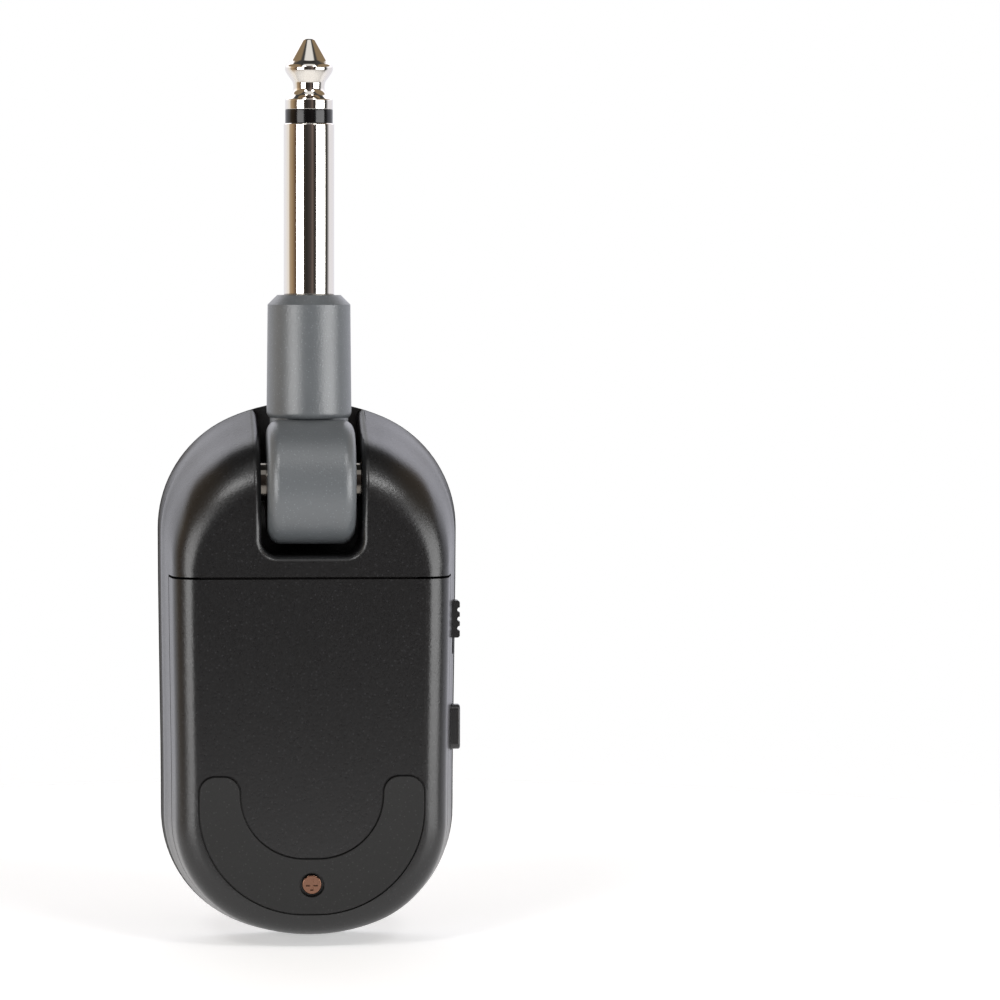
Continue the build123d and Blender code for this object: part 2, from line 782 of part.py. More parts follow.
with BuildPart() as rear_cover:
    add(outer_form)
    add(inner_form, mode=Mode.SUBTRACT)
    with BuildSketch(Plane.YZ.offset(-far / 2)):
        with Locations((cover_split_y - seam_gap / 2, seam_z - seam_gap / 2)):
            Rectangle(far, far, align=(Align.MAX, Align.MAX))
    extrude(amount=far, mode=Mode.INTERSECT)
    add(cover_lip.part)
    # shelf behind the seam, and tongues that tuck under the hood
    with BuildSketch(Plane.XZ.offset(-inner_back_y)):
        with Locations((0, seam_z - tongue_root)):
            Rectangle(
                2 * tongue_from_middle,
                tongue_root + cover_lip_root - lip_clearance,
                align=(Align.CENTER, Align.MIN),
            )
    extrude(amount=-tongue_thickness)
    with BuildSketch(Plane.XZ.offset(-inner_back_y)):
        with Locations(
            (tongue_from_middle, seam_z - tongue_root),
            (-tongue_from_middle, seam_z - tongue_root),
        ):
            Rectangle(tongue_width, tongue_root + tongue_reach, align=(Align.CENTER, Align.MIN))
    extrude(amount=-tongue_thickness)
    # boss that bears on the post, seat of the grip pad, well and hole of the screw
    with BuildSketch(Plane.XZ.offset(-inner_back_y)):
        with Locations((0, screw_z)):
            Circle(cover_boss_d / 2)
    extrude(amount=-cover_boss_height)
    extrude(pad_face(back_y, pad_gap), amount=back_y - pad_seat, mode=Mode.SUBTRACT)
    with BuildSketch(Plane.XZ.offset(-back_y)):
        with Locations((0, screw_z)):
            Circle(cover_screw_well_d / 2)
    extrude(amount=back_y - screw_seat, mode=Mode.SUBTRACT)
    with BuildSketch(Plane.XZ.offset(-back_y)):
        with Locations((0, screw_z)):
            Circle(cover_screw_d / 2 + cover_screw_clearance)
    extrude(amount=-far, mode=Mode.SUBTRACT)
save(rear_cover.part, "rear_cover")

# ---------------------------------------------------------------- grip pad and screws
with BuildPart() as grip_pad:
    extrude(pad_face(pad_seat, 0), amount=pad_thickness)
    fillet(grip_pad.faces().sort_by(Axis.Y)[0].edges(), pad_edge_round)
    with BuildSketch(Plane.XZ.offset(-pad_seat)):
        with Locations((0, screw_z)):
            Circle(cover_screw_well_d / 2)
    extrude(amount=pad_thickness, mode=Mode.SUBTRACT)
save(grip_pad.part, "grip_pad")

with BuildPart() as cover_screw:
    with BuildSketch(Plane.XZ.offset(-screw_seat)):
        with Locations((0, screw_z)):
            Circle(cover_screw_head_d / 2)
    extrude(amount=cover_screw_head_height)
    fillet(cover_screw.faces().sort_by(Axis.Y)[0].edges(), cover_screw_sink)
    with BuildSketch(Plane.XZ.offset(-screw_seat)):
        with Locations((0, screw_z)):
            Circle(cover_screw_d / 2)
    extrude(amount=-cover_screw_length)
    with BuildSketch(Plane.XZ.offset(-screw_seat + cover_screw_head_height)):
        with Locations((0, screw_z)):
            Rectangle(cross_length, cross_width)
            Rectangle(cross_width, cross_length)
    extrude(amount=-cross_depth, mode=Mode.SUBTRACT)
save(cover_screw.part, "cover_screw")

with BuildPart() as case_screws:
    with BuildSketch(Plane.XZ.offset(-lug_back)):
        with Locations(boss_places):
            Circle(case_screw_head_d / 2)
    extrude(amount=case_screw_head_height)
    with BuildSketch(Plane.XZ.offset(-lug_back)):
        with Locations(boss_places):
            Circle(case_screw_d / 2)
    extrude(amount=-case_screw_length)
    with BuildSketch(Plane.XZ.offset(-lug_back + case_screw_head_height)):
        with Locations(boss_places):
            Rectangle(cross_length, cross_width)
            Rectangle(cross_width, cross_length)
    extrude(amount=-cross_depth, mode=Mode.SUBTRACT)
save(case_screws.part, "case_screws")

# ---------------------------------------------------------------- controls
# Each control has a flange that stays behind the wall, which slopes in towards the back.
flange_foot = parting_y - control_level + control_flange_height / 2
flange_face = body_half_low - wall - flange_foot * math.tan(math.radians(side_slope)) - control_flange_gap
flange_back = flange_face - control_flange_thickness
slider_face = body_half_low + knob_stand_out
key_face = body_half_low + button_stand_out


def flange(height_z, length):
    """Plate behind the wall that keeps a control from falling out."""
    with BuildPart() as plate:
        with BuildSketch(Plane.YZ.offset(flange_back)):
            with Locations((control_level, height_z)):
                Rectangle(control_flange_height, length)
        extrude(amount=control_flange_thickness)
    return plate.part


knob_rib_pitch = knob_length / knob_rib_count
with BuildPart() as slide_knob:
    add(flange(knob_z, knob_length + 2 * knob_flange_extra))
    with BuildSketch(Plane.XZ.offset(-control_level)) as profile:
        with Locations((flange_back, knob_z)):
            Rectangle(slider_face - flange_back, knob_length, align=(Align.MIN, Align.CENTER))
        fillet(profile.vertices().group_by(Axis.X)[-1], knob_groove_r)
        with GridLocations(0, knob_rib_pitch, 1, knob_rib_count - 1):
            with Locations((slider_face, knob_z)):
                Circle(knob_groove_r, mode=Mode.SUBTRACT)
    extrude(amount=control_height / 2, both=True)
    with BuildSketch(Plane.YZ.offset(flange_back)):
        with Locations((control_level, knob_z)):
            Rectangle(lever_size, lever_size)
    extrude(amount=control_flange_thickness, mode=Mode.SUBTRACT)
save(slide_knob.part, "slide_knob")

with BuildPart() as pair_button:
    with BuildSketch(Plane.YZ.offset(flange_back)) as face:
        with Locations((control_level, button_z)):
            RectangleRounded(control_height, button_length, button_corner)
    extrude(amount=key_face - flange_back)
    fillet(pair_button.faces().sort_by(Axis.X)[-1].edges(), button_edge_round)
    add(flange(button_z, button_length + 2 * button_flange_extra))
save(pair_button.part, "pair_button")

switch_right = flange_back - lever_size / 2
switch_z = knob_z - knob_travel / 2
with BuildPart() as power_switch:
    with BuildSketch(Plane.XZ.offset(-board_front_level)):
        with Locations((switch_right - slide_switch_width / 2, switch_z)):
            Rectangle(slide_switch_width, slide_switch_length)
    extrude(amount=-slide_switch_height - control_clearance)
    with BuildSketch(Plane.YZ.offset(switch_right)):
        with Locations((control_level, switch_z)):
            Rectangle(lever_size + 2 * end_clearance, lever_size + knob_travel + 2 * control_clearance)
    extrude(amount=-lever_depth - end_clearance, mode=Mode.SUBTRACT)
save(power_switch.part, "power_switch")

with BuildPart() as power_switch_lever:
    with BuildSketch(Plane.YZ.offset(switch_right - lever_depth)):
        with Locations((control_level, knob_z)):
            Rectangle(lever_size, lever_size)
    extrude(amount=lever_depth + lever_size / 2 + control_flange_thickness)
save(power_switch_lever.part, "power_switch_lever")

key_switch_right = flange_back - button_travel - control_clearance
with BuildPart() as pair_switch:
    with BuildSketch(Plane.XZ.offset(-board_front_level)):
        with Locations((key_switch_right - pair_switch_width / 2, button_z)):
            Rectangle(pair_switch_width, pair_switch_length)
    extrude(amount=-pair_switch_height)
    with BuildSketch(Plane.YZ.offset(key_switch_right)):
        with Locations((control_level, button_z)):
            Circle(plunger_d / 2 + running_clearance)
    extrude(amount=-plunger_depth - 2 * button_travel, mode=Mode.SUBTRACT)
save(pair_switch.part, "pair_switch")

with BuildPart() as pair_switch_plunger:
    with BuildSketch(Plane.YZ.offset(key_switch_right - plunger_depth)):
        with Locations((control_level, button_z)):
            Circle(plunger_d / 2)
    extrude(amount=plunger_depth + flange_back - key_switch_right)
save(pair_switch_plunger.part, "pair_switch_plunger")

# ---------------------------------------------------------------- main board and its parts
board_depth = parting_y - board_back_level
board_cut = wall_inset(board_depth, side_slope, side_round, wall) + board_gap
board_low = body_low + wall_inset(board_depth, low_slope, low_round, wall) + board_gap
with BuildPart() as main_board:
    with BuildSketch(Plane.XZ.offset(-board_front_level)):
        make_face(oval_edges(board_cut, body_top, board_low))
        with Locations((0, floor_under - board_top_gap)):
            Rectangle(far, far, align=(Align.CENTER, Align.MIN), mode=Mode.SUBTRACT)
        with Locations(boss_places):
            Circle(case_screw_d / 2 + case_screw_clearance, mode=Mode.SUBTRACT)
    extrude(amount=board_thickness)
save(main_board.part, "main_board")


def chip(x, z, width, height, thickness):
    """A flat part standing on the board's front face."""
    with BuildPart() as body:
        with BuildSketch(Plane.XZ.offset(-board_front_level)):
            with Locations((x, z)):
                Rectangle(width, height)
        extrude(amount=-thickness)
    return body.part


with BuildPart() as rf_shield:
    add(chip(0, shield_z, shield_width, shield_height, shield_depth))
    fillet(rf_shield.edges().filter_by(Axis.Y), 2 * shield_sheet)
    room = (shield_width - 2 * shield_sheet, shield_height - 2 * shield_sheet)
    add(chip(0, shield_z, room[0], room[1], shield_depth - shield_sheet), mode=Mode.SUBTRACT)
save(rf_shield.part, "rf_shield")
save(chip(0, shield_z, radio_chip_size, radio_chip_size, chip_thickness), "radio_chip")

audio_chip_x = -(slot_half + audio_chip_size / 2)
save(chip(audio_chip_x, lamp_z, audio_chip_size, audio_chip_size, chip_thickness), "audio_chip")
charge_chip_x = -(shield_width / 2 + charge_chip_size)
save(chip(charge_chip_x, shield_z, charge_chip_size, charge_chip_size, chip_thickness), "charge_chip")

antenna_z = floor_under - board_top_gap - antenna_width
save(chip(0, antenna_z, antenna_length, antenna_width, antenna_thickness), "antenna")
save(chip(0, lamp_z, led_width, led_height, led_thickness), "status_led")

with BuildPart() as light_pipe:
    with BuildSketch(Plane.XZ.offset(-board_front_level - led_thickness - light_pipe_gap)):
        with Locations((0, lamp_z)):
            Circle(light_pipe_d / 2)
    extrude(amount=board_front_level + led_thickness + light_pipe_gap - front_y)
    with BuildSketch(Plane.XZ.offset(-inner_front_y)):
        with Locations((0, lamp_z)):
            Circle(light_pipe_flange_d / 2)
    extrude(amount=light_pipe_flange)
save(light_pipe.part, "light_pipe")

usb_mouth = body_low + usb_set_back
usb_level = board_front_level + usb_height / 2
with BuildPart() as usb_c_socket:
    with BuildSketch(Plane.XY.offset(usb_mouth)):
        with Locations((0, usb_level)):
            SlotOverall(usb_width, usb_height)
    extrude(amount=usb_length)
    with BuildSketch(Plane.XY.offset(usb_mouth)):
        with Locations((0, usb_level)):
            SlotOverall(usb_width - 2 * usb_shell, usb_height - 2 * usb_shell)
    extrude(amount=usb_depth, mode=Mode.SUBTRACT)
    with BuildSketch(Plane.XY.offset(usb_mouth + usb_depth - usb_tongue_length)):
        with Locations((0, usb_level)):
            Rectangle(usb_tongue_width, usb_tongue_thickness)
    extrude(amount=usb_tongue_length)
save(usb_c_socket.part, "usb_c_socket")

# ---------------------------------------------------------------- battery
with BuildPart() as battery_cell:
    with BuildSketch(Plane.XZ.offset(-cell_front)):
        with Locations((0, cell_top - cell_length / 2)):
            RectangleRounded(cell_width, cell_length, cell_corner)
    extrude(amount=cell_thickness)
    fillet(battery_cell.faces().sort_by(Axis.Y)[0].edges(), cell_edge_round)
    fillet(battery_cell.faces().sort_by(Axis.Y)[-1].edges(), cell_edge_round)
save(battery_cell.part, "battery_cell")

with BuildPart() as battery_tape:
    with BuildSketch(Plane.XZ.offset(-board_back_level)):
        with Locations((0, cell_top - cell_length / 2)):
            Rectangle(tape_width, tape_length)
    extrude(amount=tape_thickness)
save(battery_tape.part, "battery_tape")

socket_top = floor_under - board_top_gap - end_clearance
with BuildPart() as battery_socket:
    with BuildSketch(Plane.XZ.offset(-board_back_level)):
        with Locations((0, socket_top)):
            Rectangle(battery_socket_width, battery_socket_length, align=(Align.CENTER, Align.MAX))
    extrude(amount=battery_socket_height)
save(battery_socket.part, "battery_socket")

lead_level = board_back_level - battery_socket_height / 2
with BuildPart() as battery_leads:
    with BuildSketch(Plane.XY.offset(cell_top)):
        with Locations((-lead_spacing / 2, lead_level), (lead_spacing / 2, lead_level)):
            Circle(lead_d / 2)
    extrude(amount=socket_top - battery_socket_length - cell_top)
save(battery_leads.part, "battery_leads")

# Signal and ground wires from the hollow pin down the left cheek to the board
outlet_x = -pin_left_end - 2 * wire_d
inlet_x = -(slot_half + slot_wall + wire_d)
inlet_z = socket_top - battery_socket_length / 2
with BuildPart() as hinge_wires:
    for shift in (-hinge_wire_spacing / 2, hinge_wire_spacing / 2):
        with BuildLine() as path:
            FilletPolyline(
                (-wire_d, hinge_y, hinge_z - shift),
                (outlet_x + shift, hinge_y, hinge_z - shift),
                (outlet_x + shift, hinge_y, slot_floor),
                (inlet_x + shift, hinge_y, inlet_z),
                (inlet_x + shift, board_back_level, inlet_z),
                radius=[1.2, 2.5, 1.2],
            )
        with BuildSketch(Plane(origin=path.line @ 0, z_dir=path.line % 0)):
            Circle(wire_d / 2)
        sweep(path=path.line)
save(hinge_wires.part, "hinge_wires")
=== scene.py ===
"""Looks of a plug-in wireless guitar transmitter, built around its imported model.

The file is laid out as an add-on: its settings hold the sizes and colours a user would
change, and one operator finishes each group of pieces. Run as a script, it does them all.
"""

import math

import bmesh
import bpy
from mathutils import Matrix, Vector


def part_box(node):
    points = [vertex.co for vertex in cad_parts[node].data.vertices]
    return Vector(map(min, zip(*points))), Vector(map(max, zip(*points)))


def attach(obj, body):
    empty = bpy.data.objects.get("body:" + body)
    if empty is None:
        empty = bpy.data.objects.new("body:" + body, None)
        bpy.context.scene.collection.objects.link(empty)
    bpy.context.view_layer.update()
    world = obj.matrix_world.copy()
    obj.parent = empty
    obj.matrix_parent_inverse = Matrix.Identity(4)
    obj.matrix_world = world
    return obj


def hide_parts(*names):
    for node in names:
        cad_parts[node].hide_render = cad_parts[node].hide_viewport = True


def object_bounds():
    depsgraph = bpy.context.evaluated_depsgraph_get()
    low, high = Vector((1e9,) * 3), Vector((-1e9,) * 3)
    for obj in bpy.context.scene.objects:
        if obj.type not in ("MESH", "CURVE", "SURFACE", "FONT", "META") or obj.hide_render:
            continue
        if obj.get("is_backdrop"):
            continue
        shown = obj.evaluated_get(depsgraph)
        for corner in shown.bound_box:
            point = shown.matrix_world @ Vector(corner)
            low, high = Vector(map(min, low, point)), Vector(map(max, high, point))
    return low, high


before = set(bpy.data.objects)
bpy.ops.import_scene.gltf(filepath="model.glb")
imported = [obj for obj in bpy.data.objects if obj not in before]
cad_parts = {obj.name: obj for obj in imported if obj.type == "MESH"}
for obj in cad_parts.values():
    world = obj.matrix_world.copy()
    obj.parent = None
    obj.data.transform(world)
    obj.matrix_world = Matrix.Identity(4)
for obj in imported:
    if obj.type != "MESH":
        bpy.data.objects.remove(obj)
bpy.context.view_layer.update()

bl_info = {
    "name": "Wireless guitar transmitter",
    "version": (1, 0, 0),
    "blender": (4, 5, 0),
    "location": "3D View > Sidebar > Transmitter",
    "description": "Finishes the pieces of a plug-in wireless guitar transmitter",
    "category": "Object",
}

MM = 0.001
LINE_SPACING = 0.12 * MM
WAVE_SPACING = 1.1 * MM
ALL_WAYS = (1.0, 1.0, 1.0)


# ---------------------------------------------------------------- settings
class TransmitterFinishes(bpy.types.PropertyGroup):
    """Colours and grain of the finishes."""

    housing_colour: bpy.props.StringProperty(
        name="Housing", description="Black ABS of the housing, sRGB hex", default="#111112"
    )
    arm_colour: bpy.props.StringProperty(
        name="Plug arm", description="Grey soft-touch coat of the arm, sRGB hex", default="#5d6164"
    )
    pad_colour: bpy.props.StringProperty(
        name="Grip pad", description="Rubber of the grip pad, sRGB hex", default="#1d1d1d"
    )
    control_colour: bpy.props.StringProperty(
        name="Controls", description="Slide knob and button, sRGB hex", default="#2a2a2b"
    )
    nickel_colour: bpy.props.StringProperty(
        name="Nickel", description="Bright nickel of the plug, sRGB hex", default="#f1ece4"
    )
    copper_colour: bpy.props.StringProperty(
        name="Copper screw", description="Coppered steel of the screw, sRGB hex", default="#8f6a58"
    )
    housing_grain: bpy.props.FloatProperty(
        name="Housing grain", description="Spacing of the eroded grain", default=0.3 * MM,
        unit="LENGTH", precision=5,
    )
    arm_grain: bpy.props.FloatProperty(
        name="Arm grain", description="Spacing of the coat's grain", default=0.22 * MM,
        unit="LENGTH", precision=5,
    )


class TransmitterPlug(bpy.types.PropertyGroup):
    """Turned shapes of the plug, along its own axis."""

    edge_round: bpy.props.FloatProperty(
        name="Edge rounding", description="Polished edge of the turned parts", default=0.1 * MM,
        unit="LENGTH", precision=5,
    )
    turning_steps: bpy.props.IntProperty(
        name="Turning steps", description="Facets round each turned part", default=128, min=32
    )


class TransmitterStage(bpy.types.PropertyGroup):
    """Floor, lights and camera."""

    camera_place: bpy.props.FloatVectorProperty(
        name="Camera place", description="Where the camera stands", size=3,
        default=(-0.02405, -0.57371, 0.00559), subtype="XYZ", unit="LENGTH",
    )
    camera_turn: bpy.props.FloatVectorProperty(
        name="Camera turn", description="How the camera is turned", size=3,
        default=tuple(math.radians(a) for a in (86.8626, -0.1308, -4.805)),
        subtype="EULER",
    )
    lens: bpy.props.FloatProperty(
        name="Lens", description="Focal length in millimetres", default=163.5
    )
    softbox_strength: bpy.props.FloatProperty(
        name="Softbox strength", description="Watts per square metre of softbox", default=14.0
    )
    round_box_strength: bpy.props.FloatProperty(
        name="Round box strength", description="The same, of each round softbox", default=28.0
    )
    floor_reach: bpy.props.FloatProperty(
        name="Floor reach", description="Radius of the floor", default=0.3, unit="LENGTH"
    )
    floor_solid: bpy.props.FloatProperty(
        name="Floor solid", description="Part of the reach where fading starts", default=0.12,
        subtype="FACTOR", min=0.0, max=1.0,
    )
    floor_clear: bpy.props.FloatProperty(
        name="Floor clear", description="Part of the reach where it has faded out", default=0.95,
        subtype="FACTOR", min=0.0, max=1.0,
    )


# ---------------------------------------------------------------- helpers
def linear(hex_colour):
    """An sRGB hex colour as linear RGBA."""
    parts = [int(hex_colour[i : i + 2], 16) / 255 for i in (1, 3, 5)]
    return [c / 12.92 if c <= 0.04045 else ((c + 0.055) / 1.055) ** 2.4 for c in parts] + [1.0]


def node(tree, kind, inputs=None, stops=(), **settings):
    """Add one node, set its settings, and fill or link its inputs. Stops are (position,
    grey or hex colour) pairs for a node that has a ramp."""
    made = tree.nodes.new(kind)
    for name, value in settings.items():
        setattr(made, name, value)
    for name, value in (inputs or {}).items():
        socket = made.inputs[name]
        if isinstance(value, bpy.types.NodeSocket):
            tree.links.new(value, socket)
        else:
            socket.default_value = value
    for _ in stops[2:]:
        made.color_ramp.elements.new(1.0)
    for index, (position, colour) in enumerate(stops):
        element = made.color_ramp.elements[index]
        element.position = position
        element.color = linear(colour) if isinstance(colour, str) else [colour] * 3 + [1.0]
    return made


def new_material(name, **constants):
    """A material with a bare shader whose constant sockets are set, and its parts."""
    material = bpy.data.materials.new(name)
    material.use_nodes = True
    tree = material.node_tree
    tree.nodes.clear()
    shader = node(tree, "ShaderNodeBsdfPrincipled", constants)
    node(tree, "ShaderNodeOutputMaterial", {"Surface": shader.outputs[0]})
    place = node(tree, "ShaderNodeTexCoord").outputs["Object"]
    return material, tree, shader, place


def feed(tree, shader, **sockets):
    """Link outputs to the shader's sockets, named with underscores for spaces."""
    for name, output in sockets.items():
        tree.links.new(output, shader.inputs[name.replace("_", " ")])


def grained_plastic(name, colour, grain, depth, matt, gloss_spread, fleck_glint, ior=1.5):
    """Moulded plastic whose tool was spark eroded: an even fine grain that breaks up the
    highlights, small lighter flecks that are painted glints of polished grain tips, and slow
    mottling. The real grain is a few hundredths of a millimetre, and is drawn coarser so that it
    shows."""
    material, tree, shader, place = new_material(name, IOR=ior)
    fine = node(tree, "ShaderNodeTexNoise", {"Vector": place, "Scale": 1 / grain, "Detail": 3.0})
    tips = node(
        tree, "ShaderNodeTexVoronoi", {"Vector": place, "Scale": 0.5 / grain}, feature="F1"
    )
    # mottling about 7 mm across
    slow = node(tree, "ShaderNodeTexNoise", {"Vector": place, "Scale": 140.0, "Detail": 2.0})
    tip = node(
        tree, "ShaderNodeValToRGB", {"Fac": tips.outputs["Distance"]}, [(0.06, 1.0), (0.24, 0.0)]
    )
    base = linear(colour)
    # painted glints: the base colour is made lighter on the grain tips, in place of light caught
    # by polished tips
    lighter = [min(1.0, c * (1 + fleck_glint)) for c in base[:3]] + [1.0]
    darker = [c * 0.82 for c in base[:3]] + [1.0]
    mottled = node(
        tree, "ShaderNodeMix", {0: slow.outputs["Fac"], 6: darker, 7: base}, data_type="RGBA"
    )
    glint_flecks = node(
        tree,
        "ShaderNodeMix",
        {0: tip.outputs[0], 6: mottled.outputs[2], 7: lighter},
        data_type="RGBA",
    )
    rough = node(
        tree,
        "ShaderNodeMapRange",
        {
            "Value": fine.outputs["Fac"],
            "To Min": matt - gloss_spread,
            "To Max": matt + gloss_spread,
        },
    )
    bump = node(
        tree,
        "ShaderNodeBump",
        {"Height": fine.outputs["Fac"], "Strength": 0.55, "Distance": depth},
    )
    feed(
        tree, shader, Base_Color=glint_flecks.outputs[2], Roughness=rough.outputs[0],
        Normal=bump.outputs[0],
    )
    return material


def plated_metal(name, colour, smooth, worn, ripple, scratch_along=(1.0, 1.0, 0.08)):
    """Plated or polished metal: a clean mirror, hazed by fine polishing lines that run
    one way, and a faint waviness that makes the reflected edges waver. The lines are drawn
    coarser than real ones so that they show."""
    material, tree, shader, place = new_material(name, Metallic=1.0)
    stretched = node(tree, "ShaderNodeMapping", {"Vector": place, "Scale": scratch_along})
    lines = node(
        tree,
        "ShaderNodeTexNoise",
        {"Vector": stretched.outputs[0], "Scale": 1 / LINE_SPACING, "Detail": 4.0},
    )
    wavy = node(
        tree, "ShaderNodeTexNoise", {"Vector": stretched.outputs[0], "Scale": 1 / WAVE_SPACING}
    )
    base = linear(colour)
    tinted = node(
        tree,
        "ShaderNodeMix",
        {0: lines.outputs["Fac"], 6: [c * 0.93 for c in base[:3]] + [1.0], 7: base},
        data_type="RGBA",
    )
    rough = node(
        tree,
        "ShaderNodeMapRange",
        {"Value": lines.outputs["Fac"], "To Min": smooth, "To Max": worn},
    )
    fine = node(
        tree,
        "ShaderNodeBump",
        {"Height": lines.outputs["Fac"], "Strength": 0.08, "Distance": ripple},
    )
    bump = node(
        tree,
        "ShaderNodeBump",
        {
            "Height": wavy.outputs["Fac"],
            "Strength": 0.35,
            "Distance": ripple,
            "Normal": fine.outputs[0],
        },
    )
    feed(
        tree, shader, Base_Color=tinted.outputs[2], Roughness=rough.outputs[0],
        Normal=bump.outputs[0],
    )
    return material


def finish(material, *names):
    """Give CAD nodes a material in place of the one that they came with."""
    for name in names:
        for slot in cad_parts[name].material_slots:
            slot.material = material


def turned(name, profile, edge_round, steps, body, node_name, material):
    """A solid of revolution about the plug's axis from (radius, height) corners, with its
    sharp rims rounded."""
    shape = bmesh.new()
    corners = [shape.verts.new((r, 0.0, z)) for r, z in profile]
    edges = [shape.edges.new(pair) for pair in zip(corners, corners[1:])]
    bmesh.ops.spin(
        shape, geom=corners + edges, cent=(0, 0, 0), axis=(0, 0, 1), angle=2 * math.pi,
        steps=steps, use_merge=True,
    )
    bmesh.ops.remove_doubles(shape, verts=shape.verts, dist=1e-7)
    bmesh.ops.recalc_face_normals(shape, faces=shape.faces)
    if edge_round:
        sharp = [
            e for e in shape.edges
            if e.is_manifold and e.calc_face_angle(0.0) > math.radians(20)
        ]
        bmesh.ops.bevel(
            shape, geom=sharp, offset=edge_round, offset_type="OFFSET", affect="EDGES",
            segments=3, profile=0.5, material=-1, clamp_overlap=True,
        )
    for face in shape.faces:
        face.smooth = True
    for edge in shape.edges:
        edge.smooth = edge.calc_face_angle(0.0) < math.radians(40)
    mesh = bpy.data.meshes.new(name)
    shape.to_mesh(mesh)
    shape.free()
    mesh.materials.append(material)
    piece = bpy.data.objects.new(name, mesh)
    bpy.context.scene.collection.objects.link(piece)
    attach(piece, body)
    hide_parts(node_name)
    return piece


# ---------------------------------------------------------------- pieces
class FinishPlug(bpy.types.Operator):
    """Turn the plug's tip, spacer ring and sleeve"""

    bl_idname = "transmitter.plug"
    bl_label = "Plug"

    def execute(self, context):
        finishes = context.scene.transmitter_finishes
        plug = context.scene.transmitter_plug
        # Bright nickel over brass: mirror-like and a little warm, with drawn polishing lines
        nickel = plated_metal("bright_nickel_plate", finishes.nickel_colour, 0.03, 0.1, 0.006 * MM)
        sleeve_low, sleeve_top = (corner.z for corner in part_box("plug_sleeve"))
        ring_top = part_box("plug_insulator")[1].z
        tip_low, tip_top = (corner.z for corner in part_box("plug_tip"))
        ring_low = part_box("plug_insulator")[0].z
        sleeve_r = 3.175 * MM
        shank_r = 2.9 * MM
        bore_r = 2.1 * MM
        ring_r = 3.0 * MM
        rod_r = 1.3 * MM
        rim = 0.16 * MM
        turned(
            "plug_sleeve_turned",
            [
                (bore_r, sleeve_top),
                (sleeve_r - rim, sleeve_top),
                (sleeve_r, sleeve_top - rim),
                (sleeve_r, 0.0),
                (shank_r, 0.0),
                (shank_r, sleeve_low),
                (bore_r, sleeve_low),
                (bore_r, sleeve_top),
            ],
            plug.edge_round / 2, plug.turning_steps, "plug_arm", "plug_sleeve", nickel,
        )
        # Turned black acetal: deep black and glossy enough to mirror the softboxes
        acetal = grained_plastic(
            "turned_black_acetal", "#0b0a0a", 0.15 * MM, 0.001 * MM, 0.14, 0.04, 0.2, ior=1.48
        )
        turned(
            "plug_spacer_ring",
            [
                (rod_r, ring_top),
                (ring_r, ring_top),
                (ring_r, sleeve_top),
                (bore_r, sleeve_top),
                (bore_r, ring_low),
                (rod_r, ring_low),
                (rod_r, ring_top),
            ],
            plug.edge_round / 3, plug.turning_steps, "plug_arm", "plug_insulator",
            acetal,
        )
        # radius and depth below the nose, in mm: nose, cone, land, waist and band
        tip = [
            (0.0, 0.0),
            (0.6, 0.0),
            (0.74, 0.12),
            (0.8, 0.22),
            (2.36, 2.75),
            (2.42, 2.85),
            (2.86, 3.3),
            (3.0, 3.62),
            (3.0, 3.95),
            (2.78, 4.4),
            (2.3, 5.05),
            (2.02, 5.5),
            (1.95, 5.95),
            (1.96, 6.35),
            (2.08, 6.75),
            (2.44, 7.25),
            (2.98, 7.62),
            (3.0, 7.8),
        ]
        turned(
            "plug_tip_turned",
            [(r * MM, tip_top - z * MM) for r, z in tip]
            + [(ring_r, ring_top), (rod_r, ring_top), (rod_r, tip_low), (0.0, tip_low)],
            plug.edge_round, plug.turning_steps, "plug_arm", "plug_tip", nickel,
        )
        return {"FINISHED"}


class FinishArm(bpy.types.Operator):
    """Give the plug arm its grey soft-touch coat"""

    bl_idname = "transmitter.arm"
    bl_label = "Plug arm"

    def execute(self, context):
        finishes = context.scene.transmitter_finishes
        # Glass-filled nylon with a grey coat: wide soft highlights, and lighter flecks in the
        # grain that are painted sparkle
        coat = grained_plastic(
            "grey_coated_nylon", finishes.arm_colour, finishes.arm_grain, 0.06 * MM, 0.33, 0.08,
            0.5, ior=1.7,
        )
        finish(coat, "arm_shell")
        return {"FINISHED"}


class FinishHousing(bpy.types.Operator):
    """Give the three shells their black grained plastic"""

    bl_idname = "transmitter.housing"
    bl_label = "Housing"

    def execute(self, context):
        finishes = context.scene.transmitter_finishes
        # Spark-eroded ABS: near black square on, grey at grazing angles, sparse fine flecks that
        # are painted glints
        shell = grained_plastic(
            "moulded_black_abs", finishes.housing_colour, finishes.housing_grain, 0.03 * MM, 0.3,
            0.07, 2.6, ior=1.58,
        )
        finish(shell, "rear_housing", "front_shell", "rear_cover")
        return {"FINISHED"}


class FinishPad(bpy.types.Operator):
    """Finish the grip pad and the screw in it"""

    bl_idname = "transmitter.pad"
    bl_label = "Grip pad and screw"

    def execute(self, context):
        finishes = context.scene.transmitter_finishes
        # Silicone rubber: matt, a shade lighter than the housing, with a fine grain whose lighter
        # flecks are painted glints
        rubber = grained_plastic(
            "silicone_rubber", finishes.pad_colour, 0.26 * MM, 0.02 * MM, 0.68, 0.06, 1.1,
            ior=1.42,
        )
        finish(rubber, "grip_pad")
        # Coppered steel: a warm glint in the cross-recess, darker where it has tarnished
        copper = plated_metal(
            "coppered_steel", finishes.copper_colour, 0.12, 0.26, 0.02 * MM, ALL_WAYS
        )
        finish(copper, "cover_screw")
        return {"FINISHED"}


